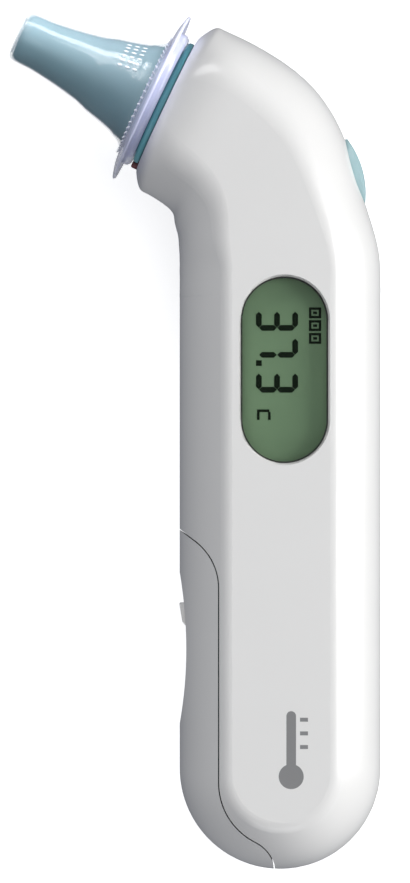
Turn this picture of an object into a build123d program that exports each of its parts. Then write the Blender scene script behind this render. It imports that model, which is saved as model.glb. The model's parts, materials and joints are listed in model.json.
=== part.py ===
from build123d import *
import math
import os

# Digital ear thermometer, millimetres.
# It lies on its back: +Z is the normal of the display face, +Y runs along the handle towards the head,
# and the probe leans out of the head towards -X.  X = 0 is the centre line of the handle, Y = 0 is the
# centre of its round lower end, and Z = 0 is the flat back that it rests on.

os.makedirs("parts", exist_ok=True)

# ---- casing ----
HANDLE_WIDTH = 35.8
THICKNESS = 33.0
WALL = 2.0
MID = THICKNESS / 2
HANDLE_TOP = 84.0           # the handle is straight up to here, then bends into the head
FACE_HALF = 8.6             # half width of the flat face, up to its soft edge
FACE_SOFT = 3.2             # radius of that soft edge
SEAM = 0.12                 # half width and depth of the groove where the two shells meet

# ---- bend from the handle to the head ----
BEND_X = -26.0
BEND_Y = 88.0
LEAN = 64.6                 # degrees between the handle and the probe axis

# ---- probe ----
TIP_X = -46.7
TIP_Y = 130.87
HEAD_DEPTH = 29.2           # from the tip of the filter back to the end face of the head
NOSE_RADIUS = 12.0          # radius of that end face
NOSE_WALL = 4.5             # thickness of the casing behind that end face

# ---- running clearances ----
GAP = 0.15
DOOR_GAP = 0.2

ALONG_PROBE = Vector(-math.sin(math.radians(LEAN)), math.cos(math.radians(LEAN)), 0)
HEAD_FACE = Vector(TIP_X, TIP_Y, MID) - ALONG_PROBE * HEAD_DEPTH
# local frame of the probe: z points out along the probe, x points up the end face, z = 0 is that face
UP_FACE = Vector(ALONG_PROBE.Y, -ALONG_PROBE.X, 0)
PROBE = Plane(origin=HEAD_FACE, x_dir=UP_FACE, z_dir=ALONG_PROBE)


# ---------------------------------------------------------------- helpers

def box(x0, x1, y0, y1, z0, z1):
    """A box between two corners."""
    return Pos((x0 + x1) / 2, (y0 + y1) / 2, (z0 + z1) / 2) * Box(x1 - x0, y1 - y0, z1 - z0)


def rod(x, y, z0, z1, radius):
    """A cylinder along Z."""
    return Pos(x, y, (z0 + z1) / 2) * Cylinder(radius, z1 - z0)


def tube(x, y, z0, z1, outer, inner):
    """A tube along Z."""
    return rod(x, y, z0, z1, outer) - rod(x, y, z0 - 1, z1 + 1, inner)


def turned(points):
    """A solid turned about the probe axis from (radius, height) points of a closed outline."""
    outline = make_face(Polyline([(r, 0, h) for r, h in points], close=True))
    return PROBE.location * revolve(outline, axis=Axis.Z, revolution_arc=360)


def sleeve(inner, outer, low, high):
    """A tube on the probe axis."""
    return turned([(inner, low), (outer, low), (outer, high), (inner, high)])


def plug(radius, low, high):
    """A cylinder on the probe axis."""
    return PROBE.location * (Pos(0, 0, (low + high) / 2) * Cylinder(radius, high - low))


def obround(x, y, width, length, low, high):
    """A round ended bar, long along Y, between two heights."""
    sketch = Pos(x, y, low) * SlotOverall(length, width, rotation=90)
    return extrude(sketch, amount=high - low, dir=(0, 0, 1))


# ---------------------------------------------------------------- casing form

def profile(half, thick, flat, soft, inset):
    """One closed cross section: flat faces, soft edges and arched sides, moved in by inset."""
    side = ((half - flat) ** 2 + (thick - soft) ** 2 - soft ** 2) / (2 * (half - flat - soft))
    side_centre = half - side
    soft_centre = Vector(flat, thick - soft)
    reach = soft_centre - Vector(side_centre, 0)
    tilt = math.atan2(reach.Y, reach.X)
    side -= inset
    soft -= inset

    def on_side(angle, sign):
        return (sign * (side_centre + side * math.cos(angle)), side * math.sin(angle))

    def on_soft(angle, sign, up):
        return (sign * (flat + soft * math.cos(angle)), up * (soft_centre.Y + soft * math.sin(angle)))

    half_turn = (tilt + math.pi / 2) / 2
    right_side = ThreePointArc(on_side(-tilt, 1), on_side(0, 1), on_side(tilt, 1))
    right_top = ThreePointArc(on_side(tilt, 1), on_soft(half_turn, 1, 1), (flat, thick - inset))
    top = Line((flat, thick - inset), (-flat, thick - inset))
    left_top = ThreePointArc((-flat, thick - inset), on_soft(half_turn, -1, 1), on_side(tilt, -1))
    left_side = ThreePointArc(on_side(tilt, -1), on_side(0, -1), on_side(-tilt, -1))
    left_low = ThreePointArc(on_side(-tilt, -1), on_soft(half_turn, -1, -1), (-flat, inset - thick))
    low = Line((-flat, inset - thick), (flat, inset - thick))
    right_low = ThreePointArc((flat, inset - thick), on_soft(half_turn, 1, -1), on_side(-tilt, 1))
    return make_face([right_side, right_top, top, left_top, left_side, left_low, low, right_low])


def across_handle(y):
    """Section plane square to the handle."""
    return Plane(origin=(0, y, MID), x_dir=(1, 0, 0), z_dir=(0, -1, 0))


def across_bend(angle, inner, outer):
    """Section plane of the bend: angle from the handle, inner and outer radius from the bend centre."""
    turn = math.radians(angle)
    out = Vector(math.cos(turn), math.sin(turn), 0)
    centre = Vector(BEND_X, BEND_Y, MID) + out * ((inner + outer) / 2)
    return Plane(origin=centre, x_dir=out, z_dir=(out.Y, -out.X, 0))


# angle, inner radius, outer radius, half thickness, flat half width, soft edge radius
BEND = [
    (5, 8.1, 43.8, 16.50, 8.5, 3.3),
    (11, 8.25, 43.4, 16.50, 8.3, 3.6),
    (18, 8.5, 43.1, 16.50, 8.0, 4.1),
    (26, 8.95, 43.65, 16.47, 7.6, 4.8),
    (34, 9.6, 44.85, 16.41, 7.2, 5.5),
    (43, 10.6, 45.95, 16.33, 6.8, 6.2),
    (53, 11.9, 46.3, 16.22, 6.4, 6.7),
]
# the head, from the bend to its end face
HEAD_START = 8.1            # behind the end face
HEAD_HIGH = 16.45           # full reach above the probe axis
HEAD_LOW = 15.8             # full reach below it
HEAD_THICK = 16.1           # full half thickness
CHIN_SPAN = 2.7             # the outline rounds off over this length in front
DOME_SPAN = 9.5             # the thickness rounds off over this length in front


def rounding(depth, span, power):
    """0 at the end face, rising steeply to 1 at span behind it."""
    left = max(0.0, 1.0 - depth / span)
    return (1.0 - left ** power) ** (1.0 / power)


def head_section(depth, inset):
    """Section of the head at a depth behind its end face."""
    outline = rounding(depth, CHIN_SPAN, 1.4)
    dome = rounding(depth, DOME_SPAN, 2.0)
    swell = 0.6 * max(0.0, (depth - 3.0) / (HEAD_START - 3.0)) ** 2
    high = NOSE_RADIUS + (HEAD_HIGH - NOSE_RADIUS) * outline
    low = NOSE_RADIUS + (HEAD_LOW - NOSE_RADIUS) * outline + swell
    thick = NOSE_RADIUS + (HEAD_THICK - NOSE_RADIUS) * dome
    flat = 1.0 + 5.2 * dome
    soft = 10.2 - 3.4 * dome
    centre = HEAD_FACE - ALONG_PROBE * depth + UP_FACE * ((high - low) / 2)
    plane = Plane(origin=centre, x_dir=UP_FACE, z_dir=-ALONG_PROBE)
    return plane * profile((high + low) / 2, thick, flat, soft, inset)


def casing(inset, nose=0.0):
    """The whole outer form, moved in by inset; nose cuts it back from the end face of the head."""
    handle_section = profile(HANDLE_WIDTH / 2, MID, FACE_HALF, FACE_SOFT, inset)
    right_half = handle_section & (Pos(50, 0) * Rectangle(100, 100))
    lower_end = Plane(origin=(0, 0, MID), x_dir=(-1, 0, 0), z_dir=(0, 1, 0)) * right_half
    lower_end = revolve(lower_end, axis=Axis.Z, revolution_arc=180)
    handle = extrude(across_handle(0) * handle_section, amount=-HANDLE_TOP)
    sections = [across_handle(y) * handle_section for y in (HANDLE_TOP, HANDLE_TOP + 2, BEND_Y)]
    for angle, inner, outer, thick, flat, soft in BEND:
        shape = profile((outer - inner) / 2, thick, flat, soft, inset)
        sections.append(across_bend(angle, inner, outer) * shape)
    depths = [d for d in (HEAD_START, 5.6, 3.6, 2.3, 1.3, 0.6, 0.2, 0.0) if d > nose]
    if nose:
        depths.append(nose)
    sections += [head_section(depth, inset) for depth in depths]
    return lower_end + handle + loft([make_face(s.wires()) for s in sections])


# ---------------------------------------------------------------- battery door outline

DOOR_EDGE = -11.1           # straight edge of the door on the face
DOOR_HIGH = 32.5            # the straight edge ends here and turns to the left side
DOOR_LOW = -1.8             # the straight edge ends here and turns to the lower end


def door_outline(grow=0.0):
    """Plan outline of the door, seen from the display side; its outer part lies beyond the casing."""
    edge = Line((DOOR_EDGE + grow, DOOR_LOW), (DOOR_EDGE + grow, DOOR_HIGH))
    upper = JernArc(start=edge @ 1, tangent=(0, 1), radius=10.0 + grow, arc_size=54.4)
    upper_run = Line(upper @ 1, upper @ 1 + (upper % 1) * 10)
    lower = JernArc(start=edge @ 0, tangent=(0, -1), radius=12.0 - grow, arc_size=63)
    lower_turn = JernArc(start=lower @ 1, tangent=lower % 1, radius=6.2 + grow, arc_size=-55)
    lower_run = Line(lower_turn @ 1, lower_turn @ 1 + (lower_turn % 1) * 8)
    rest = Polyline(lower_run @ 1, (-40, -40), (-40, 50), upper_run @ 1)
    return make_face([edge, upper, upper_run, lower, lower_turn, lower_run, rest])


def through(sketch):
    """A plan outline carried through the whole thickness."""
    return extrude(Pos(0, 0, -1) * sketch, amount=THICKNESS + 2, dir=(0, 0, 1))


# ---------------------------------------------------------------- finger scoop in the door

SCOOP_Y = 21.5
SCOOP_RADIUS = 58.0
SCOOP_DEPTH = 1.6


def scoop_ball(grow):
    """The ball that hollows the finger scoop."""
    centre = -HANDLE_WIDTH / 2 + SCOOP_DEPTH - SCOOP_RADIUS
    return Pos(centre, SCOOP_Y, MID) * Sphere(SCOOP_RADIUS + grow)


# ---------------------------------------------------------------- display

DISPLAY_X = 0.6
DISPLAY_Y = 70.9
DISPLAY_WIDTH = 16.0
DISPLAY_LENGTH = 33.5
LEDGE = 0.3                 # the window rests on a ledge this wide
WINDOW_HIGH = THICKNESS - 0.9
WINDOW_LOW = WINDOW_HIGH - 1.0
LEDGE_LOW = THICKNESS - WALL - 1.0
GLASS_HIGH = LEDGE_LOW - 0.1
GLASS_LOW = GLASS_HIGH - 1.6
REFLECTOR_LOW = GLASS_LOW - 0.4
BOARD_HIGH = 18.6
BOARD_LOW = 17.0
CONNECTOR_X = 8.1           # from the middle of the display to each connector strip
DIGIT_HEIGHT = 7.4
DIGIT_WIDTH = 3.9
STROKE = 1.0


def display_room(grow, low, high):
    """Obround of the display opening, grown on its width, between two heights."""
    return obround(DISPLAY_X, DISPLAY_Y, DISPLAY_WIDTH + grow, DISPLAY_LENGTH + grow, low, high)


def display_block(half_width, half_length, low, high):
    """A block centred on the display."""
    x0 = DISPLAY_X - half_width
    y0 = DISPLAY_Y - half_length
    return box(x0, x0 + 2 * half_width, y0, y0 + 2 * half_length, low, high)


def display_window():
    return display_room(-2 * GAP, WINDOW_LOW, WINDOW_HIGH)


def display_gasket():
    """Dark foam ring inside the ledge, between window and glass."""
    ring = display_room(-2 * LEDGE - 0.1, GLASS_HIGH, WINDOW_LOW)
    return ring - display_room(-2 * LEDGE - 0.6, GLASS_HIGH - 1, WINDOW_LOW + 1)


def display_glass():
    return display_block(8.8, 17.6, GLASS_LOW, GLASS_HIGH)


def display_reflector():
    return display_block(7.1, 15.5, REFLECTOR_LOW, GLASS_LOW)


def display_connectors(grow=0.0):
    """The two elastomer strips between glass and board; grown, the slots for them."""
    strips = []
    for side in (-1, 1):
        strip = box(-0.6 - grow, 0.6 + grow, -14.5 - grow, 14.5 + grow, BOARD_HIGH, GLASS_LOW)
        strips.append(Pos(DISPLAY_X + side * CONNECTOR_X, DISPLAY_Y, 0) * strip)
    return Compound(strips)


def display_holder():
    """Frame that stands on the board and carries the glass and the reflector."""
    frame = display_block(9.5, 19.0, BOARD_HIGH, GLASS_HIGH - 0.1)
    frame -= display_block(8.9, 17.7, GLASS_LOW, THICKNESS)
    frame -= display_block(7.2, 15.6, REFLECTOR_LOW, THICKNESS)
    frame -= display_block(6.4, 14.8, BOARD_LOW, THICKNESS)
    for slot in display_connectors(0.1).solids():
        frame -= slot
    return frame


def bar(length, thickness):
    """One display segment: a flat bar with pointed ends, along local X."""
    half = length / 2
    tip = STROKE / 2
    outline = Polyline(
        (-half, 0),
        (-half + tip, tip),
        (half - tip, tip),
        (half, 0),
        (half - tip, -tip),
        (-half + tip, -tip),
        close=True,
    )
    return extrude(make_face(outline), amount=thickness)


def digit(segments, height, width):
    """A seven segment digit in its own plane, lower left corner at the origin."""
    side = (height - STROKE) / 2
    level = width - STROKE
    places = {
        "top": (width / 2, height - STROKE / 2, 0, level),
        "middle": (width / 2, height / 2, 0, level),
        "bottom": (width / 2, STROKE / 2, 0, level),
        "upper_left": (STROKE / 2, height / 2 + side / 2, 90, side),
        "upper_right": (width - STROKE / 2, height / 2 + side / 2, 90, side),
        "lower_left": (STROKE / 2, height / 2 - side / 2, 90, side),
        "lower_right": (width - STROKE / 2, height / 2 - side / 2, 90, side),
    }
    bars = []
    for name in segments:
        x, y, turn, length = places[name]
        bars.append(Pos(x, y) * Rot(0, 0, turn) * bar(length - 0.1, 0.05))
    return bars


THREE = ("top", "middle", "bottom", "upper_right", "lower_right")
SEVEN = ("top", "upper_right", "lower_right")
# segments, distance read along the handle from the first digit
READING = [(THREE, 0.0), (SEVEN, 4.75), (THREE, 10.9)]


def display_digits():
    """The reading, written down the handle: its lines run towards -Y and its letters stand towards +X."""
    bars = []
    for segments, along in READING:
        for piece in digit(segments, DIGIT_HEIGHT, DIGIT_WIDTH):
            bars.append(Pos(along, 0) * piece)
    bars.append(Pos(9.6, STROKE / 2) * extrude(Rectangle(STROKE, STROKE), amount=0.05))
    for x, y, wide, high in ((18.0, 1.25, 0.45, 2.2), (18.9, 2.35, 1.4, 0.45), (18.9, 0.4, 1.4, 0.45)):
        bars.append(Pos(x, y) * extrude(Rectangle(wide, high), amount=0.05))
    place = Plane(origin=(-4.4, 81.7, GLASS_HIGH), x_dir=(0, -1, 0), z_dir=(0, 0, 1))
    return Compound([place.location * b for b in bars])


def memory_sign():
    """Small memory indicator beside the reading: a row of three framed cells, each with a mark in it."""
    cell_wide, cell_high, line, pitch = 1.9, 2.15, 0.42, 2.25
    cells = []
    for i in range(3):
        frame = Rectangle(cell_wide, cell_high) - Rectangle(cell_wide - 2 * line, cell_high - 2 * line)
        cells.append(Pos(pitch * i, 0) * extrude(frame, amount=0.05))
        cells.append(Pos(pitch * i, 0) * extrude(Rectangle(0.45, 0.7), amount=0.05))
    place = Plane(origin=(6.0, 80.95, GLASS_HIGH), x_dir=(0, -1, 0), z_dir=(0, 0, 1))
    return Compound([place.location * c for c in cells])


# ---------------------------------------------------------------- boards and what they carry

BOARD_HALF = 12.0
BOARD_START = 45.0
BOARD_END = 97.0
POST_RADIUS = 2.2
PILOT_RADIUS = 0.85         # hole that each board screw bites into
PILOT_DEPTH = 7.0
FOOT_SINK = 0.4             # each post starts this deep in the wall of the rear shell
BOARD_POSTS = [(-7.6, 48.2), (7.6, 48.2), (0.6, 93.6)]


def main_board():
    board = box(-BOARD_HALF, BOARD_HALF, BOARD_START, BOARD_END, BOARD_LOW, BOARD_HIGH)
    for x, y in BOARD_POSTS:
        board -= rod(x, y, 0, THICKNESS, 1.0)
    return board


def board_screws():
    screws = []
    for x, y in BOARD_POSTS:
        head = rod(x, y, BOARD_HIGH, BOARD_HIGH + 1.1, 1.7)
        slot = box(x - 0.2, x + 0.2, y - 1.1, y + 1.1, BOARD_HIGH + 0.6, BOARD_HIGH + 2)
        cross = box(x - 1.1, x + 1.1, y - 0.2, y + 0.2, BOARD_HIGH + 0.6, BOARD_HIGH + 2)
        screws.append(head + rod(x, y, BOARD_LOW - 5, BOARD_HIGH, 0.8) - slot - cross)
    return Compound(screws)


def controller_chip():
    """Square chip with leads on all four sides, under the board."""
    chip = box(-4, 4, -4, 4, -1.4, -0.2)
    for turn in range(4):
        for step in range(8):
            lead = box(4, 4.9, -3.3 + step * 0.9, -2.95 + step * 0.9, -0.25, 0)
            foot = box(3.6, 4.4, -3.3 + step * 0.9, -2.95 + step * 0.9, -0.6, -0.1)
            chip += Rot(0, 0, 90 * turn) * (lead + foot)
    return Pos(1.5, 66, BOARD_LOW) * chip


def amplifier_chip():
    """Small chip with leads on two sides, on top of the board."""
    chip = box(-1.9, 1.9, -2.4, 2.4, 0.15, 1.5)
    for side in (-1, 1):
        for step in range(4):
            y = -1.9 + step * 1.27
            x0, x1 = sorted((side * 1.5, side * 2.9))
            chip += box(x0, x1, y - 0.2, y + 0.2, 0, 0.3)
    return Pos(-4.6, 93.2, BOARD_HIGH) * chip


def small_components():
    """Resistors and capacitors under the board, and the clock crystal."""
    parts = []
    for row in range(4):
        for column in range(3):
            x = -9.0 + column * 2.8
            y = 76.0 + row * 3.2
            parts.append(box(x - 0.8, x + 0.8, y - 0.4, y + 0.4, BOARD_LOW - 0.6, BOARD_LOW))
    parts.append(box(5.0, 8.4, 80.0, 88.0, BOARD_LOW - 2.4, BOARD_LOW))
    return Compound(parts)


BUZZER_X = 2.6
BUZZER_Y = 17.0


def buzzer():
    """Flat sounder glued inside the rear shell."""
    body = rod(BUZZER_X, BUZZER_Y, WALL, WALL + 3.0, 6.0)
    return body - rod(BUZZER_X, BUZZER_Y, WALL - 1, WALL + 0.8, 4.6)


def sound_holes():
    """Ring of holes and one in the middle, over the sounder."""
    holes = [rod(BUZZER_X, BUZZER_Y, -1, WALL + 1, 0.55)]
    for step in range(6):
        angle = math.radians(60 * step)
        x = BUZZER_X + 2.2 * math.cos(angle)
        y = BUZZER_Y + 2.2 * math.sin(angle)
        holes.append(rod(x, y, -1, WALL + 1, 0.55))
    return holes


# ---------------------------------------------------------------- cells and their tray

CELL_RADIUS = 5.2
CELL_X = -7.6
CELL_STEP = 5.5             # from the middle plane to the axis of each cell
CELL_BODY = 43.5
CELL_NUB = 1.0
BAY_LOW = -7.0
BAY_HIGH = 41.3
CONTACT = 0.3
TRAY_HALF = 11.2


def cell(z, nub_up):
    """One small round cell along Y, resting with its positive nub against a contact plate."""
    body_low = BAY_HIGH - CONTACT - CELL_NUB - CELL_BODY
    body = Pos(0, 0, CELL_BODY / 2) * Cylinder(CELL_RADIUS, CELL_BODY)
    body = chamfer(body.edges(), 0.4)
    groove = Pos(0, 0, CELL_BODY - 0.35) * (Cylinder(4.6, 1) - Cylinder(3.9, 1))
    nub = Pos(0, 0, CELL_BODY + CELL_NUB / 2) * Cylinder(1.9, CELL_NUB)
    whole = body - groove + nub
    if nub_up:
        place = Plane(origin=(CELL_X, body_low, z), x_dir=(1, 0, 0), z_dir=(0, 1, 0))
    else:
        body_high = BAY_LOW + CONTACT + CELL_NUB + CELL_BODY
        place = Plane(origin=(CELL_X, body_high, z), x_dir=(1, 0, 0), z_dir=(0, -1, 0))
    return place.location * whole


def contact_spring(z, low, high):
    """Coil that presses on the flat end of one cell."""
    coil = Helix(pitch=(high - low - 0.5) / 3, height=high - low - 0.5, radius=2.6)
    start = Plane(origin=coil @ 0, z_dir=coil % 0)
    wire = sweep(start * Circle(0.25), path=coil)
    return Pos(CELL_X, low + 0.25, z) * Rot(-90, 0, 0) * wire


def battery_springs():
    low_end = contact_spring(MID + CELL_STEP, BAY_LOW + CONTACT, -3.5)
    high_end = contact_spring(MID - CELL_STEP, 37.8, BAY_HIGH - CONTACT)
    return Compound([low_end, high_end])


def contact_plates():
    """One plate behind each end of the two cells."""
    plates = []
    for z in (MID - CELL_STEP, MID + CELL_STEP):
        for low in (BAY_LOW, BAY_HIGH - CONTACT):
            plates.append(box(CELL_X - 3.4, CELL_X + 3.4, low, low + CONTACT, z - 3.4, z + 3.4))
    return Compound(plates)


def battery_tray():
    """Back wall and two end walls that carry the contacts."""
    back = box(-2.1, -1.1, BAY_LOW - 1, BAY_HIGH + 1, MID - TRAY_HALF, MID + TRAY_HALF)
    low = box(-15, -2, BAY_LOW - 1, BAY_LOW, MID - TRAY_HALF, MID + TRAY_HALF)
    high = box(-15, -2, BAY_HIGH, BAY_HIGH + 1, MID - TRAY_HALF, MID + TRAY_HALF)
    return (back + low + high) & casing(WALL + 0.3, 5)


def battery_leads():
    """Two short leads from the upper contacts to the board."""
    leads = []
    for x, z in ((-3.4, MID + CELL_STEP), (-4.9, MID + CELL_STEP)):
        top = BAY_HIGH + 1
        path = FilletPolyline((x, top, z), (x, top + 1.6, z), (x, top + 4.4, BOARD_HIGH + 0.5), radius=0.9)
        start = Plane(origin=path @ 0, z_dir=path % 0)
        leads.append(sweep(start * Circle(0.5), path=path))
    return Compound(leads)


# ---------------------------------------------------------------- door

def battery_door(outer, inner):
    """The lower left part of the wall, with the finger scoop and its thicker backing."""
    outline = through(door_outline())
    door = (outer - inner) & outline
    backing = scoop_ball(1.5) & outer & box(-20, -12, SCOOP_Y - 14, SCOOP_Y + 14, MID - 9, MID + 9)
    door = door + backing - scoop_ball(0)
    return door - latch_block(GAP)


LATCH_LOW = 25.6
LATCH_HIGH = 29.5
LATCH_HALF = 3.6
LATCH_INNER = -14.5


def latch_block(grow):
    """The part of the latch that stands in the slot of the door."""
    return box(
        -20 if grow else -17.95,
        LATCH_INNER + grow,
        LATCH_LOW - grow,
        LATCH_HIGH + grow,
        MID - LATCH_HALF - grow,
        MID + LATCH_HALF + grow,
    )


def door_latch():
    """Pad with a sharp upper ledge that slopes away below, and a flange behind the wall."""
    slope = make_face(
        Polyline(
            (-17.95, LATCH_HIGH - 0.15),
            (-17.8, LATCH_HIGH),
            (LATCH_INNER, LATCH_HIGH),
            (LATCH_INNER, LATCH_LOW),
            (-16.9, LATCH_LOW),
            (-17.45, LATCH_LOW + 0.7),
            close=True,
        )
    )
    pad = extrude(Pos(0, 0, MID - LATCH_HALF) * slope, amount=2 * LATCH_HALF, dir=(0, 0, 1))
    flange = box(LATCH_INNER, LATCH_INNER + 0.6, LATCH_LOW - 1.2, LATCH_HIGH + 1.2, MID - 4.6, MID + 4.6)
    return pad + flange


# ---------------------------------------------------------------- start button

BUTTON_LEAN = 14.8          # degrees that the button faces upwards
BUTTON = Plane(
    origin=(13.56, 106.25, MID),
    x_dir=(-math.sin(math.radians(BUTTON_LEAN)), math.cos(math.radians(BUTTON_LEAN)), 0),
    z_dir=(math.cos(math.radians(BUTTON_LEAN)), math.sin(math.radians(BUTTON_LEAN)), 0),
)
BUTTON_LONG = 6.2
BUTTON_WIDE = 5.0
BUTTON_PROUD = 1.25
SWITCH_HIGH = -5.9          # top of the switch housing, measured from the button's seat


def oval(long, wide, low, high):
    """Oval bar square to the button's seat."""
    return extrude(Pos(0, 0, low) * Ellipse(long, wide), amount=high - low)


def start_button():
    """Domed cap with a flange behind the wall and a foot for the switch."""
    ball = (BUTTON_LONG ** 2 + BUTTON_PROUD ** 2) / (2 * BUTTON_PROUD)
    cap = oval(BUTTON_LONG, BUTTON_WIDE, -3.7, 4) & (Pos(0, 0, BUTTON_PROUD - ball) * Sphere(ball))
    flange = oval(BUTTON_LONG + 1.0, BUTTON_WIDE + 0.9, -4.5, -3.7)
    foot = Pos(0, 0, -5.0) * Cylinder(1.3, 1.0)
    return BUTTON.location * (cap + flange + foot)


def button_hole():
    return BUTTON.location * oval(BUTTON_LONG + GAP, BUTTON_WIDE + GAP, -8, 8)


def start_switch():
    """Housing of the push switch, open at the top for its stem."""
    body = Pos(0, 0, SWITCH_HIGH - 1.65) * Box(6, 6, 3.3)
    return BUTTON.location * (body - Pos(0, 0, SWITCH_HIGH - 1.2) * Cylinder(1.6, 2.5))


def switch_stem():
    return BUTTON.location * (Pos(0, 0, -6.35) * Cylinder(1.5, 1.7))


def switch_board():
    return BUTTON.location * (Pos(0, 0, SWITCH_HIGH - 3.3 - 0.6) * Box(9, 24, 1.2))


# ---------------------------------------------------------------- probe

NOZZLE_BASE = 8.6
FLANGE_HIGH = -12.2
FLANGE_LOW = -14.2


def probe_nozzle():
    """Tapered nozzle, its shoulder, its narrow base and the flange that the shells hold."""
    outer = [
        (3.4, 28.3),
        (3.95, 27.9),
        (4.2, 27.0),
        (4.3, 24.1),
        (4.8, 20.1),
        (5.4, 16.6),
        (5.9, 14.4),
        (6.55, 12.6),
        (7.2, 9.8),
        (7.9, 7.3),
        (8.4, 6.1),
        (8.8, 4.9),
        (9.4, 3.6),
        (10.0, 2.7),
        (10.0, -2.0),
        (NOZZLE_BASE, -2.0),
        (NOZZLE_BASE, FLANGE_HIGH),
        (13.4, FLANGE_HIGH),
        (13.4, FLANGE_LOW),
    ]
    inner = [(5.2, FLANGE_LOW), (5.2, 4.0), (2.7, 5.2), (2.7, 28.3)]
    return turned(outer + inner)


def probe_window():
    return plug(2.65, 27.3, 27.8)


def waveguide():
    """Thin gold plated tube from the window to the sensor."""
    return sleeve(2.2, 2.6, 4.0, 27.2)


def thermopile():
    """Sensor can with its base rim, its own window opening and four leads."""
    rim = [(0, -0.5), (3.3, -0.5), (3.3, 0.1), (2.75, 0.1)]
    cap = [(2.75, 3.4), (1.6, 3.4), (1.6, 3.0), (0, 3.0)]
    can = turned(rim + cap)
    for x, y in ((-1.3, 0), (1.3, 0), (0, -1.3), (0, 1.3)):
        can += PROBE.location * (Pos(x, y, -5.0) * Cylinder(0.22, 9.1))
    return can


def sensor_holder():
    """Metal block round the sensor can, clear of its leads."""
    return turned([(2.2, -9.2), (5.1, -9.2), (5.1, 3.8), (3.4, 3.8), (3.4, -0.5), (2.2, -0.5)])


def sensor_board():
    board = plug(4.9, -10.3, -9.3)
    for x, y in ((-1.3, 0), (1.3, 0), (0, -1.3), (0, 1.3)):
        board -= PROBE.location * (Pos(x, y, -9.8) * Cylinder(0.3, 3))
    return board


def sensor_cable():
    """Three fine wires from the sensor to the board, side by side."""
    inward = Vector(-ALONG_PROBE.Y, ALONG_PROBE.X, 0) * 2.6
    begin = HEAD_FACE - ALONG_PROBE * 10.3 + inward
    wires = []
    for step in (-1, 0, 1):
        path = FilletPolyline(
            begin + Vector(0, 0, step),
            begin - ALONG_PROBE * 6.0 + Vector(0, 0, step),
            (-8.6 + step, 102.2, 18.8),
            (-9.0 + step, 99.6, 20.4),
            (-9.2 + step, 95.4, BOARD_HIGH + 0.45),
            radius=0.9,
        )
        start = Plane(origin=path @ 0, z_dir=path % 0)
        wires.append(sweep(start * Circle(0.4), path=path))
    return Compound(wires)


# ---------------------------------------------------------------- ejector and filter detector

PIN_RADIUS = 0.75
PIN_X = -12.0               # from the probe axis, at the lower side of the head
SLEEVE_INNER = 10.15
SLEEVE_OUTER = 11.0


def on_pin(radius, low, high):
    """A cylinder on the axis of the detector pin."""
    return PROBE.location * (Pos(PIN_X, 0, (low + high) / 2) * Cylinder(radius, high - low))


def ejector_ring():
    """Ring in front of the head, its sleeve and the inner collar that the spring pushes on."""
    ring = turned(
        [
            (SLEEVE_INNER, 1.05),
            (11.5, 1.05),
            (11.8, 0.75),
            (11.8, 0.05),
            (SLEEVE_OUTER, 0.05),
            (SLEEVE_OUTER, -11.0),
            (NOZZLE_BASE + GAP, -11.0),
            (NOZZLE_BASE + GAP, -10.0),
            (SLEEVE_INNER, -10.0),
        ]
    )
    notch = Pos(PIN_X - 1, 0, 0) * Box(4 + 2 * PIN_RADIUS - 1.4, 3.2, 30)
    return ring - PROBE.location * notch


def ejector_spring():
    """Return spring between the nozzle's shoulder and the collar of the ring."""
    low = -9.95
    high = -2.05
    radius = 9.4
    coil = Helix(pitch=(high - low - 0.7) / 3, height=high - low - 0.7, radius=radius)
    start = Plane(origin=coil @ 0, z_dir=coil % 0)
    wire = sweep(start * Circle(0.35), path=coil)
    return PROBE.location * (Pos(0, 0, low + 0.35) * wire)


def detector_pin():
    """Pin that the filter's skirt covers, with a collar inside the head."""
    pin = on_pin(PIN_RADIUS, -6.2, 1.0)
    return chamfer(pin.edges().sort_by(lambda e: e.center().X)[0], 0.2) + on_pin(0.95, -6.2, -5.2)


def detector_rod():
    return on_pin(0.5, -9.2, -6.2)


def detector_switch():
    """Small switch on the front of the nozzle's flange, open for the rod."""
    body = PROBE.location * (Pos(PIN_X - 0.1, 0, (FLANGE_HIGH - 8.6) / 2) * Box(1.7, 4.4, -8.6 - FLANGE_HIGH))
    return body - on_pin(0.62, -11.6, -8)


# ---------------------------------------------------------------- lens filter

def lens_filter():
    """Clear disposable cap: tapered sleeve, wide thin flange swept back at its rim, and a short skirt."""
    outer = [
        (3.5, 29.2),
        (4.3, 28.8),
        (4.65, 27.8),
        (4.8, 24.2),
        (5.3, 20.2),
        (5.9, 16.7),
        (6.4, 14.5),
        (7.05, 12.9),
        (7.7, 10.0),
        (8.4, 7.5),
        (9.0, 6.4),
        (9.4, 5.2),
        (10.2, 4.15),
        (13.2, 3.75),
        (15.9, 3.0),
        (15.9, 2.5),
        (13.2, 3.05),
        (12.7, 2.8),
        (12.7, 1.8),
        (12.1, 1.2),
    ]
    inner = [
        (10.7, 1.2),
        (11.3, 2.0),
        (11.3, 3.3),
        (10.1, 3.6),
        (9.1, 4.95),
        (8.65, 6.25),
        (8.1, 7.4),
        (7.4, 9.9),
        (6.75, 12.7),
        (6.1, 14.5),
        (5.6, 16.7),
        (5.0, 20.2),
        (4.5, 24.2),
        (4.4, 27.3),
        (4.15, 28.2),
        (3.3, 28.7),
        (3.3, 29.2),
    ]
    return turned(outer + inner)


def filter_membrane():
    return plug(3.3, 28.9, 29.0)


# ---------------------------------------------------------------- shells

SCREWS = [(4.6, -5.5), (4.6, 37.5), (-2.6, 102.2)]
SCREW_SEAT = 6.0            # depth of the recess for each screw head


def seam_groove(outer):
    """Fine groove round the casing where the two shells meet."""
    band = box(-60, 60, -60, 160, MID - SEAM, MID + SEAM)
    return (outer & band) - casing(SEAM * 2)


def rear_post(x, y):
    """Screw post of the rear shell, up to the middle plane."""
    return rod(x, y, 0.5, MID, 3.2)


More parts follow.
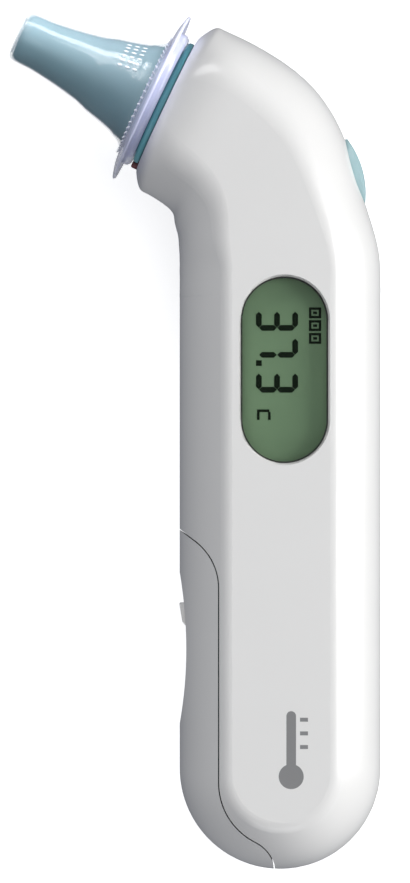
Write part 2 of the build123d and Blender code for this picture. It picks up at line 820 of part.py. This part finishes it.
def screw_hole(x, y):
    return rod(x, y, -1, SCREW_SEAT, 2.5) + rod(x, y, SCREW_SEAT - 1, MID + 1, 1.3)


def front_post(x, y):
    """Blind post of the front shell that the screw bites into."""
    return rod(x, y, MID, THICKNESS - 0.5, 2.9) - rod(x, y, MID - 1, THICKNESS - 4, 1.02)


def case_screws():
    screws = []
    for x, y in SCREWS:
        head = rod(x, y, SCREW_SEAT - 1.7, SCREW_SEAT, 2.1)
        slot = box(x - 0.3, x + 0.3, y - 1.4, y + 1.4, 0, SCREW_SEAT - 1.0)
        cross = box(x - 1.4, x + 1.4, y - 0.3, y + 0.3, 0, SCREW_SEAT - 1.0)
        screws.append(head + rod(x, y, SCREW_SEAT - 0.1, THICKNESS - 6, 1.0) - slot - cross)
    return Compound(screws)


def nozzle_ribs(inner):
    """Two walls inside the head that hold the nozzle's flange between them."""
    front = sleeve(12.0, 20, FLANGE_HIGH + 0.05, FLANGE_HIGH + 1.0)
    switch_room = PROBE.location * (Pos(-13, 0, -11.6) * Box(6, 6, 2.4))
    rear = sleeve(7.0, 20, FLANGE_LOW - 1.2, FLANGE_LOW - 0.05)
    return ((front - switch_room) + rear) & inner


def openings():
    """What both shells leave open: the bore for the ejector, the pin hole and the button hole."""
    return [
        plug(SLEEVE_OUTER + GAP, -8, 3),
        on_pin(PIN_RADIUS + 0.12, -8, 3),
        on_pin(1.1, -8, -5.1),
        button_hole(),
    ]


def mark_strokes(low, high):
    """Generic sign of a thermometer standing across the handle: a bulb, a stem and three ticks."""
    bulb = rod(1.75, -0.6, low, high, 2.2)
    stem = obround(1.75, 4.6, 1.7, 12.6, low, high)
    strokes = bulb + stem
    for tick in range(3):
        y = 4.6 + tick * 2.4
        strokes += box(3.3, 4.7, y - 0.35, y + 0.35, low, high)
    return strokes


MARK_DEPTH = 0.08


def display_ledge():
    """Thicker rim under the face, round the display opening."""
    return display_room(2.2, LEDGE_LOW, THICKNESS - WALL + 0.1)


def build():
    """Makes every sub-part and returns them by name."""
    outer = casing(0)
    inner = casing(WALL, NOSE_WALL)
    front_half = box(-60, 60, -60, 160, MID, THICKNESS + 20)
    rear_half = box(-60, 60, -60, 160, -20, MID)
    wall = outer - inner - seam_groove(outer)
    wall += nozzle_ribs(inner)
    for hole in openings():
        wall -= hole
    door_room = through(door_outline(DOOR_GAP))

    front = wall & front_half
    front += display_ledge()
    for x, y in SCREWS:
        front += front_post(x, y)
    front -= door_room
    front -= display_room(0, WINDOW_LOW, THICKNESS + 1)
    front -= display_room(-2 * LEDGE, LEDGE_LOW - 1, THICKNESS)
    front -= mark_strokes(THICKNESS - MARK_DEPTH, THICKNESS + 1)

    rear = wall & rear_half
    for x, y in SCREWS:
        rear += rear_post(x, y)
    for x, y in BOARD_POSTS:
        rear += tube(x, y, BOARD_LOW - PILOT_DEPTH, BOARD_LOW, POST_RADIUS, PILOT_RADIUS)
        rear += rod(x, y, WALL - FOOT_SINK, BOARD_LOW - PILOT_DEPTH, POST_RADIUS)
    for x, y in SCREWS:
        rear -= screw_hole(x, y)
    for hole in sound_holes():
        rear -= hole
    rear -= door_room

    return {
        "front_shell": front,
        "rear_shell": rear,
        "battery_door": battery_door(outer, inner),
        "door_latch": door_latch(),
        "display_window": display_window(),
        "display_gasket": display_gasket(),
        "display_glass": display_glass(),
        "display_digits": display_digits(),
        "memory_sign": memory_sign(),
        "display_reflector": display_reflector(),
        "display_holder": display_holder(),
        "display_connectors": display_connectors(),
        "main_board": main_board(),
        "board_screws": board_screws(),
        "controller_chip": controller_chip(),
        "amplifier_chip": amplifier_chip(),
        "small_components": small_components(),
        "buzzer": buzzer(),
        "cell_front": cell(MID + CELL_STEP, True),
        "cell_rear": cell(MID - CELL_STEP, False),
        "battery_springs": battery_springs(),
        "contact_plates": contact_plates(),
        "battery_tray": battery_tray(),
        "battery_leads": battery_leads(),
        "start_button": start_button(),
        "switch_stem": switch_stem(),
        "start_switch": start_switch(),
        "switch_board": switch_board(),
        "probe_nozzle": probe_nozzle(),
        "probe_window": probe_window(),
        "waveguide": waveguide(),
        "thermopile": thermopile(),
        "sensor_holder": sensor_holder(),
        "sensor_board": sensor_board(),
        "sensor_cable": sensor_cable(),
        "ejector_ring": ejector_ring(),
        "ejector_spring": ejector_spring(),
        "detector_pin": detector_pin(),
        "detector_rod": detector_rod(),
        "detector_switch": detector_switch(),
        "lens_filter": lens_filter(),
        "filter_membrane": filter_membrane(),
        "case_screws": case_screws(),
        "printed_mark": mark_strokes(THICKNESS - MARK_DEPTH, THICKNESS),
    }


for name, shape in build().items():
    export_step(shape, f"parts/{name}.step")
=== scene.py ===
"""Looks of the digital ear thermometer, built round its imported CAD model.

Metres, in the model's own frame, except where a comment says millimetres.
"""

import json
import math

import bmesh
import bpy
from mathutils import Matrix, Vector


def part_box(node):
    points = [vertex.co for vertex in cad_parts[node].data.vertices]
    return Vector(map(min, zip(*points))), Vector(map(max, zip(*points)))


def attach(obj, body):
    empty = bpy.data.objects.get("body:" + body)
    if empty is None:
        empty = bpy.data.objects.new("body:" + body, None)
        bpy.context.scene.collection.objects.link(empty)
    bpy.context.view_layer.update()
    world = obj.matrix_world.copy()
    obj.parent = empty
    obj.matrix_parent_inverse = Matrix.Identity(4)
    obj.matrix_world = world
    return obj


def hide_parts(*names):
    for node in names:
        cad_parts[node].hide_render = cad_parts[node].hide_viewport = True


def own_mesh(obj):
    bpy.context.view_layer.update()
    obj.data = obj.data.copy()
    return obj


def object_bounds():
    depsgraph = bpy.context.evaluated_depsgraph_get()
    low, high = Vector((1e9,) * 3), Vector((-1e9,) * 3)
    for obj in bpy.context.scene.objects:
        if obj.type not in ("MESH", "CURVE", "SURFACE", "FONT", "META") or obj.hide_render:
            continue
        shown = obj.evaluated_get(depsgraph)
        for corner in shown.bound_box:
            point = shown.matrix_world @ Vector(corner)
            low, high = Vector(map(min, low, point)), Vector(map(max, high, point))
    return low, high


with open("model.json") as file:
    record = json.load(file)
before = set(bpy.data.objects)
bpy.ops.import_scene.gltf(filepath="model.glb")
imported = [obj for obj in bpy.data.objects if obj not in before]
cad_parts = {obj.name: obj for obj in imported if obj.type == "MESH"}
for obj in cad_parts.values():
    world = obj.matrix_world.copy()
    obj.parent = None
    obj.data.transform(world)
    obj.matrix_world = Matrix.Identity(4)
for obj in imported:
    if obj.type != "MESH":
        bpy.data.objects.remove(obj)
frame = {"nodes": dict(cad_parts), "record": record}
nodes = frame["nodes"]
mounts = {m["name"]: m for m in frame["record"]["mounts"]}
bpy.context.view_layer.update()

MM = 0.001

# height of the plane halfway through the body's thickness
MID = (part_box("front_shell")[1].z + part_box("rear_shell")[0].z) / 2

# the probe's own frame: z runs out along the probe, x up the end face of the head
seat = Vector(mounts["filter_seat"]["pos_m"])
along = Vector(mounts["filter_seat"]["axis"]).normalized()
up_face = Vector((along.y, -along.x, 0.0))
PROBE = Matrix.Translation(seat) @ Matrix((up_face, along.cross(up_face), along)).transposed().to_4x4()


# ------------------------------------------------------------ materials

PLASTIC_IOR = 1.5
GLOSS_SPREAD = 0.08         # share by which the roughness wanders
MOTTLE_DETAIL = 3.0
GRAIN_DETAIL = 2.0
GRAIN_DEPTH = 0.0001
METAL_GRAIN_SCALE = 1500.0
METAL_GRAIN_STRENGTH = 0.1
METAL_GRAIN_DEPTH = 0.00005


def rgb(red, green, blue):
    """Linear colour from display values of 0 to 255."""
    def linear(value):
        value = value / 255
        return value / 12.92 if value <= 0.04045 else ((value + 0.055) / 1.055) ** 2.4
    return (linear(red), linear(green), linear(blue), 1.0)


def plastic(name, colour, roughness, coat=0.0, coat_roughness=0.08, specular=0.5, metallic=0.0,
            alpha=1.0, bump=0.03, grain=2600.0, mottle=60.0, vary=0.015):
    """Moulded plastic: fine mould texture as bump, slight mottling of colour and gloss."""
    material = bpy.data.materials.new(name)
    material.use_nodes = True
    tree = material.node_tree
    shader = tree.nodes["Principled BSDF"]
    shader.inputs["IOR"].default_value = PLASTIC_IOR
    shader.inputs["Specular IOR Level"].default_value = specular
    shader.inputs["Metallic"].default_value = metallic
    shader.inputs["Coat Weight"].default_value = coat
    shader.inputs["Coat Roughness"].default_value = coat_roughness
    shader.inputs["Alpha"].default_value = alpha
    place = tree.nodes.new("ShaderNodeTexCoord")
    soft = tree.nodes.new("ShaderNodeTexNoise")
    soft.inputs["Scale"].default_value = mottle
    soft.inputs["Detail"].default_value = MOTTLE_DETAIL
    tree.links.new(place.outputs["Object"], soft.inputs["Vector"])
    mix = tree.nodes.new("ShaderNodeMix")
    mix.data_type = "RGBA"
    mix.inputs["A"].default_value = [c * (1 - vary) for c in colour[:3]] + [1.0]
    mix.inputs["B"].default_value = [min(1.0, c * (1 + vary)) for c in colour[:3]] + [1.0]
    tree.links.new(soft.outputs["Fac"], mix.inputs["Factor"])
    tree.links.new(mix.outputs["Result"], shader.inputs["Base Color"])
    gloss = tree.nodes.new("ShaderNodeMapRange")
    gloss.inputs["To Min"].default_value = roughness * (1 - GLOSS_SPREAD)
    gloss.inputs["To Max"].default_value = roughness * (1 + GLOSS_SPREAD)
    tree.links.new(soft.outputs["Fac"], gloss.inputs["Value"])
    tree.links.new(gloss.outputs["Result"], shader.inputs["Roughness"])
    if bump:
        fine = tree.nodes.new("ShaderNodeTexNoise")
        fine.inputs["Scale"].default_value = grain
        fine.inputs["Detail"].default_value = GRAIN_DETAIL
        tree.links.new(place.outputs["Object"], fine.inputs["Vector"])
        relief = tree.nodes.new("ShaderNodeBump")
        relief.inputs["Strength"].default_value = bump
        relief.inputs["Distance"].default_value = GRAIN_DEPTH
        tree.links.new(fine.outputs["Fac"], relief.inputs["Height"])
        tree.links.new(relief.outputs["Normal"], shader.inputs["Normal"])
    return material


def metal(name, colour, roughness):
    """Metal with a slight mottling and a fine grain as bump."""
    material = plastic(name, colour, roughness, metallic=1.0, bump=0.0, vary=0.04)
    tree = material.node_tree
    place = tree.nodes.new("ShaderNodeTexCoord")
    fine = tree.nodes.new("ShaderNodeTexNoise")
    fine.inputs["Scale"].default_value = METAL_GRAIN_SCALE
    relief = tree.nodes.new("ShaderNodeBump")
    relief.inputs["Strength"].default_value = METAL_GRAIN_STRENGTH
    relief.inputs["Distance"].default_value = METAL_GRAIN_DEPTH
    tree.links.new(place.outputs["Object"], fine.inputs["Vector"])
    tree.links.new(fine.outputs["Fac"], relief.inputs["Height"])
    tree.links.new(relief.outputs["Normal"], tree.nodes["Principled BSDF"].inputs["Normal"])
    return material


WHITE = plastic("white_abs", rgb(239, 238, 235), 0.30, coat=0.25, coat_roughness=0.12, bump=0.02)
TEAL = plastic("teal_probe", rgb(48, 128, 138), 0.34, coat=0.3)
TEAL_RING = plastic("teal_ring", rgb(110, 184, 190), 0.34, coat=0.2)
PALE_TEAL = plastic("button_teal", rgb(176, 208, 212), 0.38, bump=0.06)
CLEAR = plastic("clear_filter", rgb(190, 216, 228), 0.2, coat=1.0, coat_roughness=0.14, alpha=0.26,
                bump=0.0)
FROSTED = plastic("frosted_flange", rgb(214, 218, 244), 0.25, coat=0.8, alpha=0.6, bump=0.03)
# the cap's ribs and bars: real raised marks, made near-white and nearly opaque as a painted highlight of
# the clear plastic catching the light
RIB_PAINTED_HIGHLIGHT = plastic("ribs_painted_highlight", rgb(248, 250, 255), 0.12, coat=1.0, alpha=0.7, bump=0.0)
FILM = plastic("thin_film", rgb(230, 236, 240), 0.12, alpha=0.25, bump=0.0)
WINDOW = plastic("display_cover", rgb(80, 92, 80), 0.05, specular=0.2, alpha=0.04, bump=0.0)
LCD = plastic("display_glass", rgb(114, 144, 108), 0.5, bump=0.01, mottle=25.0, vary=0.02)
INK = plastic("display_ink", rgb(10, 22, 10), 0.8, specular=0.0, bump=0.0)
FOAM = plastic("gasket_foam", rgb(62, 64, 60), 0.8, bump=0.2, grain=4000.0)
FOIL = metal("reflector_foil", rgb(200, 202, 205), 0.35)
HOLDER = plastic("holder_plastic", rgb(215, 215, 210), 0.5)
ELASTOMER = plastic("connector_strip", rgb(190, 150, 160), 0.6)
BOARD = plastic("circuit_board", rgb(26, 94, 52), 0.35, coat=0.5, mottle=400.0, vary=0.12)
CHIP = plastic("chip_epoxy", rgb(36, 36, 38), 0.55, bump=0.15, grain=6000.0)
CERAMIC = plastic("small_parts", rgb(160, 130, 95), 0.4, mottle=700.0, vary=0.2)
BRASS = metal("brass", rgb(200, 165, 90), 0.3)
GOLD = metal("gold_plate", rgb(225, 185, 100), 0.18)
STEEL = metal("plated_steel", rgb(190, 190, 192), 0.28)
JACKET = plastic("cell_jacket", rgb(70, 84, 96), 0.25, coat=0.8, vary=0.05)
TRAY = plastic("tray_plastic", rgb(70, 70, 74), 0.5)
LEAD = plastic("wire_sleeve", rgb(170, 40, 34), 0.5)
BLACK = plastic("black_plastic", rgb(30, 30, 32), 0.45)
COATED = plastic("coated_window", rgb(90, 50, 100), 0.1, coat=1.0, bump=0.0)
DARK_RED = plastic("pin_red", rgb(112, 48, 52), 0.3, coat=0.3)
MARK = plastic("printed_ink", rgb(140, 140, 140), 0.5, bump=0.05)

FINISH = {
    "front_shell": WHITE,
    "rear_shell": WHITE,
    "battery_door": WHITE,
    "door_latch": WHITE,
    "display_window": WINDOW,
    "display_gasket": FOAM,
    "display_glass": LCD,
    "display_digits": INK,
    "memory_sign": INK,
    "display_reflector": FOIL,
    "display_holder": HOLDER,
    "display_connectors": ELASTOMER,
    "main_board": BOARD,
    "board_screws": STEEL,
    "controller_chip": CHIP,
    "amplifier_chip": CHIP,
    "small_components": CERAMIC,
    "buzzer": BRASS,
    "cell_front": JACKET,
    "cell_rear": JACKET,
    "battery_springs": STEEL,
    "contact_plates": STEEL,
    "battery_tray": TRAY,
    "battery_leads": LEAD,
    "start_button": PALE_TEAL,
    "switch_stem": BLACK,
    "start_switch": BLACK,
    "switch_board": BOARD,
    "probe_nozzle": TEAL,
    "probe_window": COATED,
    "waveguide": GOLD,
    "thermopile": STEEL,
    "sensor_holder": BRASS,
    "sensor_board": BOARD,
    "sensor_cable": LEAD,
    "ejector_ring": TEAL_RING,
    "ejector_spring": STEEL,
    "detector_pin": DARK_RED,
    "detector_rod": BLACK,
    "detector_switch": BLACK,
    "lens_filter": FROSTED,
    "filter_membrane": FILM,
    "case_screws": STEEL,
    "printed_mark": MARK,
}
for name, finish in FINISH.items():
    mesh = nodes[name].data
    mesh.materials.clear()
    mesh.materials.append(finish)


# ------------------------------------------------------------ turned pieces of the probe

def curve_value(before, start, end, after, part):
    """A number on the soft curve from start to end, the given part of the way along."""
    slope = end - before
    bend = 2 * before - 5 * start + 4 * end - after
    twist = 3 * start - before - 3 * end + after
    return 0.5 * (2 * start + slope * part + bend * part * part + twist * part ** 3)


def smooth_line(points, steps):
    """Points (radius, height) joined by a soft curve that passes through each of them."""
    ends = [points[0]] + points + [points[-1]]
    line = []
    for before, start, end, after in zip(ends, ends[1:], ends[2:], ends[3:]):
        for step in range(steps):
            part = step / steps
            radius = curve_value(before[0], start[0], end[0], after[0], part)
            height = curve_value(before[1], start[1], end[1], after[1], part)
            line.append((radius, height))
    return line + [points[-1]]


def new_object(name, data):
    """An object for the data, linked into the scene."""
    piece = bpy.data.objects.new(name, data)
    bpy.context.collection.objects.link(piece)
    return piece


def smooth_object(name, build):
    """A smooth shaded object from a finished bmesh, which is freed."""
    mesh = bpy.data.meshes.new(name)
    build.to_mesh(mesh)
    build.free()
    mesh.shade_smooth()
    return new_object(name, mesh)


def turned(name, outline, around):
    """A closed outline of (radius, height) in millimetres, turned about the probe axis."""
    build = bmesh.new()
    rings = []
    for radius, height in outline:
        ring = []
        for i in range(around):
            angle = 2 * math.pi * i / around
            corner = Vector((radius * math.cos(angle), radius * math.sin(angle), height)) * MM
            ring.append(build.verts.new(corner))
        rings.append(ring)
    for low, high in zip(rings, rings[1:] + rings[:1]):
        for i in range(around):
            j = (i + 1) % around
            build.faces.new((low[i], low[j], high[j], high[i]))
    bmesh.ops.recalc_face_normals(build, faces=build.faces)
    bmesh.ops.transform(build, matrix=PROBE, verts=build.verts)
    return smooth_object(name, build)


def finish_piece(piece, body, material):
    """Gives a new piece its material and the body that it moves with."""
    piece.data.materials.append(material)
    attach(piece, body)


# all outlines are (radius, height above the end face of the head), in millimetres

# outside of the nozzle, from its tip to its shoulder
NOZZLE_LINE = [
    (3.1, 28.6), (3.85, 28.38), (4.34, 27.4), (4.52, 24.2), (5.02, 20.2), (5.62, 16.7), (6.12, 14.5),
    (6.77, 12.6), (7.42, 9.9), (8.12, 7.4), (8.64, 6.25), (9.05, 4.95), (9.6, 3.7), (10.0, 2.7),
]
# the nozzle's neck and foot inside the head
NOZZLE_BASE = [
    (10.0, -2.0), (8.6, -2.0), (8.6, -12.2), (13.4, -12.2), (13.4, -14.2), (5.2, -14.2), (5.2, 4.0),
]
# the nozzle's bore, up to the rim of its tip
NOZZLE_BORE = [(2.7, 5.2), (2.7, 28.4), (2.9, 28.55)]
NOZZLE_SIDES = 160

# outside of the cap's sleeve, from its tip to its foot, and the inside, back to the tip
SLEEVE_LINE = [
    (3.5, 29.2), (4.25, 28.9), (4.62, 27.9), (4.78, 24.2), (5.3, 20.2), (5.9, 16.7), (6.4, 14.5),
    (7.05, 12.6), (7.7, 10.0), (8.4, 7.5), (8.95, 6.3), (9.5, 5.2), (10.3, 4.35),
]
SLEEVE_INSIDE = [
    (10.1, 3.75), (9.25, 4.95), (8.75, 6.25), (8.2, 7.4), (7.5, 9.9), (6.85, 12.6), (6.2, 14.5),
    (5.7, 16.7), (5.1, 20.2), (4.58, 24.2), (4.45, 27.4), (4.1, 28.5), (3.3, 28.75),
]
SLEEVE_RIM = [(3.3, 29.2)]

# the flange: its outer face to the edge, its under side, and the short skirt
FLANGE_TOP = [(10.3, 4.35), (11.4, 4.0), (13.2, 3.78), (14.6, 3.45), (15.7, 3.12), (15.93, 2.85)]
FLANGE_UNDER = [(15.75, 2.6), (14.6, 2.8), (13.2, 3.05), (12.75, 2.75), (12.7, 1.8), (12.1, 1.2)]
FLANGE_SKIRT = [(10.7, 1.2), (11.3, 2.0), (11.3, 3.1), (10.0, 3.75)]
CAP_SIDES = 192


def probe_cover():
    """The teal nozzle under the cap, with a soft rim at its tip."""
    outline = smooth_line(NOZZLE_LINE, 6) + NOZZLE_BASE + NOZZLE_BORE
    piece = turned("nozzle_body", outline, NOZZLE_SIDES)
    finish_piece(piece, "root", TEAL)
    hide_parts("probe_nozzle")


def sleeve_radius(height):
    """Outer radius of the cap's sleeve at a height above the end face."""
    for (upper_radius, upper), (lower_radius, lower) in zip(SLEEVE_LINE, SLEEVE_LINE[1:]):
        if lower <= height <= upper:
            return upper_radius + (lower_radius - upper_radius) * (upper - height) / (upper - lower)
    return SLEEVE_LINE[-1][0]


def grains(name, places, size):
    """Small rounded bars in millimetres, each at (angle, radius, height, lean), on the clear cap, whitened
    as painted highlights.
    """
    build = bmesh.new()
    for angle, radius, height, lean in places:
        place = Matrix.Rotation(angle, 4, "Z") @ Matrix.Translation((radius * MM, 0, height * MM))
        place = place @ Matrix.Rotation(math.radians(lean), 4, "Y")
        stretch = Matrix.Diagonal((*(side * MM for side in size), 1.0))
        bar = bmesh.ops.create_icosphere(build, subdivisions=2, radius=0.5)
        bmesh.ops.transform(build, matrix=PROBE @ place @ stretch, verts=bar["verts"])
    finish_piece(smooth_object(name, build), "filter", RIB_PAINTED_HIGHLIGHT)


# sizes and heights in millimetres, angles in degrees
RIB_COUNT = 56
RIB_RADIUS = 11.05
RIB_HEIGHT = 4.12
RIB_LEAN = -32
RIB_SIZE = (1.1, 0.42, 0.2)

BAR_ROWS = 3
BARS_IN_ROW = 6
BAR_LOWEST = 7.5
BAR_RISE = 1.4
BAR_FIRST_ANGLE = -30
BAR_ANGLE_STEP = -8
BAR_LEAN = -14
BAR_SIZE = (0.16, 0.42, 1.0)


def bevel_ribs():
    """A row of fine ribs round the foot of the cap's sleeve, on the flange's inner bevel."""
    places = []
    for rib in range(RIB_COUNT):
        places.append((2 * math.pi * rib / RIB_COUNT, RIB_RADIUS, RIB_HEIGHT, RIB_LEAN))
    grains("flange_ribs", places, RIB_SIZE)


def grip_bars():
    """Rows of short raised bars near the foot of the sleeve, on its upper side."""
    places = []
    for row in range(BAR_ROWS):
        height = BAR_LOWEST + BAR_RISE * row
        for bar in range(BARS_IN_ROW):
            angle = math.radians(BAR_FIRST_ANGLE + BAR_ANGLE_STEP * bar)
            places.append((angle, sleeve_radius(height), height, BAR_LEAN))
    grains("grip_bars", places, BAR_SIZE)


def filter_cap():
    """The clear cap: a tapered sleeve, and a frosted flange with a ribbed inner bevel and a short skirt."""
    sleeve = smooth_line(SLEEVE_LINE, 10) + smooth_line(SLEEVE_INSIDE, 6) + SLEEVE_RIM
    cap = turned("filter_sleeve", sleeve, CAP_SIDES)
    finish_piece(cap, "filter", CLEAR)
    outline = smooth_line(FLANGE_TOP, 5) + smooth_line(FLANGE_UNDER, 5) + FLANGE_SKIRT
    flange = turned("filter_flange", outline, CAP_SIDES)
    finish_piece(flange, "filter", FROSTED)
    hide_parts("lens_filter")
    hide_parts("lens_filter")
    bevel_ribs()
    grip_bars()


# the ejector's spring at rest, in millimetres, its heights measured like the outlines'
SPRING_LOW = -9.55
SPRING_HIGH = -2.45
SPRING_RADIUS = 9.4
SPRING_TURNS = 3
POINTS_PER_TURN = 40
WIRE_RADIUS = 0.35
WIRE_ROUNDNESS = 4


def coil_mesh():
    """A round wire wound about the probe axis."""
    curve = bpy.data.curves.new("coil", "CURVE")
    curve.dimensions = "3D"
    curve.bevel_depth = WIRE_RADIUS * MM
    curve.bevel_resolution = WIRE_ROUNDNESS
    curve.use_fill_caps = True
    line = curve.splines.new("POLY")
    count = POINTS_PER_TURN * SPRING_TURNS
    line.points.add(count)
    for i, point in enumerate(line.points):
        part = i / count
        angle = 2 * math.pi * SPRING_TURNS * part
        height = SPRING_LOW + (SPRING_HIGH - SPRING_LOW) * part
        place = Vector((SPRING_RADIUS * math.cos(angle), SPRING_RADIUS * math.sin(angle), height)) * MM
        point.co = (*(PROBE @ place), 1.0)
    shape = bpy.data.objects.new("coil", curve)
    mesh = bpy.data.meshes.new_from_object(shape)
    mesh.shade_smooth()
    bpy.data.objects.remove(shape)
    return mesh


def return_spring():
    """The ejector's coil spring, at rest, wound about the probe axis."""
    piece = new_object("return_spring", coil_mesh())
    finish_piece(piece, "root", STEEL)
    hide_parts("ejector_spring")
    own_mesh(piece)


probe_cover()
filter_cap()
return_spring()


# ------------------------------------------------------------ camera

PICTURE_HEIGHT = 0.1575     # what the picture spans, from top to bottom, at the object's middle plane
CAMERA_RISE = 1.1           # from the middle plane up to the camera
CAMERA_RIGHT = 0.0018       # to the right of the middle of the object's box
CAMERA_LOW = 0.0001         # below the middle of the object's box, as the picture shows it
SENSOR_HEIGHT = 36.0
CLIP_END = 10.0


def place_camera():
    """A long lens straight above the display side, with the handle upright in the picture."""
    low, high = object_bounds()
    data = bpy.data.cameras.new("camera")
    data.sensor_fit = "VERTICAL"
    data.sensor_height = SENSOR_HEIGHT
    data.lens = SENSOR_HEIGHT * CAMERA_RISE / PICTURE_HEIGHT
    data.clip_end = CLIP_END
    camera = new_object("camera", data)
    middle = (low + high) / 2
    camera.location = (middle.x + CAMERA_RIGHT, middle.y - CAMERA_LOW, MID + CAMERA_RISE)
    bpy.context.scene.camera = camera


place_camera()


# ------------------------------------------------------------ studio

BODY_AIM = (0.0, 0.06, 0.016)
HEAD_AIM = (-0.02, 0.12, 0.016)

# each lamp that lights everything: name, place, what it points at, its two sides, its power in watts
LAMPS = [
    ("key_right", (0.88, 0.15, 0.2), BODY_AIM, (0.35, 1.2), 13.5),
    ("overhead", (0.1, 0.1, 1.6), BODY_AIM, (0.9, 0.9), 1.4),
    ("strip_above", (-0.3, 0.85, 0.5), HEAD_AIM, (0.6, 0.4), 3.6),
    ("fill_below", (-0.05, -0.75, 0.5), BODY_AIM, (0.7, 0.5), 2.2),
]
# the lamp that lights only the clear pieces
SHINE_PLACE = (0.45, 0.95, 0.35)
SHINE_SIZE = (2.4, 0.34)
SHINE_POWER = 34.0

SKY_COLOUR = (0.68, 0.72, 0.83, 1.0)
SKY_STRENGTH = 0.22

FLOOR_REACH = 3.0
FLOOR_HEIGHT = -0.0002
FLOOR_COLOUR = (0.85, 0.85, 0.85, 1.0)
FLOOR_ROUGHNESS = 0.6
FLOOR_GLOW = 0.7


def area_light(name, place, aim, size, power):
    """A rectangular lamp, size (width, height), turned towards aim."""
    data = bpy.data.lights.new(name, "AREA")
    data.shape = "RECTANGLE"
    data.size, data.size_y = size
    data.energy = power
    lamp = new_object(name, data)
    lamp.location = place
    lamp.rotation_euler = (Vector(aim) - Vector(place)).to_track_quat("-Z", "Y").to_euler()
    return lamp


def light_clear_pieces():
    """A long lamp for the highlight on the clear cap; it reaches nothing else."""
    shine = area_light("probe_shine", SHINE_PLACE, seat, SHINE_SIZE, SHINE_POWER)
    clear_pieces = bpy.data.collections.new("clear_pieces")
    for name in ("filter_sleeve", "filter_flange", "flange_ribs", "grip_bars"):
        clear_pieces.objects.link(bpy.data.objects[name])
    shine.light_linking.receiver_collection = clear_pieces


def make_sky():
    """Dim light of one pale blue colour from all round."""
    world = bpy.data.worlds.new("studio")
    world.use_nodes = True
    background = world.node_tree.nodes["Background"]
    background.inputs["Color"].default_value = SKY_COLOUR
    background.inputs["Strength"].default_value = SKY_STRENGTH
    bpy.context.scene.world = world


def lay_floor():
    """A wide white floor, just under the object, that glows a little and throws no light on it."""
    mesh = bpy.data.meshes.new("floor")
    reach = FLOOR_REACH
    corners = [(-reach, -reach, 0), (reach, -reach, 0), (reach, reach, 0), (-reach, reach, 0)]
    mesh.from_pydata(corners, [], [(0, 1, 2, 3)])
    floor = new_object("floor", mesh)
    floor.location.z = FLOOR_HEIGHT
    pale = plastic("pale_floor", FLOOR_COLOUR, FLOOR_ROUGHNESS, bump=0.0, vary=0.0)
    shader = pale.node_tree.nodes["Principled BSDF"]
    shader.inputs["Emission Color"].default_value = (1.0, 1.0, 1.0, 1.0)
    shader.inputs["Emission Strength"].default_value = FLOOR_GLOW
    mesh.materials.append(pale)
    floor.visible_diffuse = False
    floor.visible_glossy = False


def make_studio():
    """Lamps, sky and floor."""
    for lamp in LAMPS:
        area_light(*lamp)
    light_clear_pieces()
    make_sky()
    bpy.context.scene.view_settings.view_transform = "Standard"
    lay_floor()


make_studio()
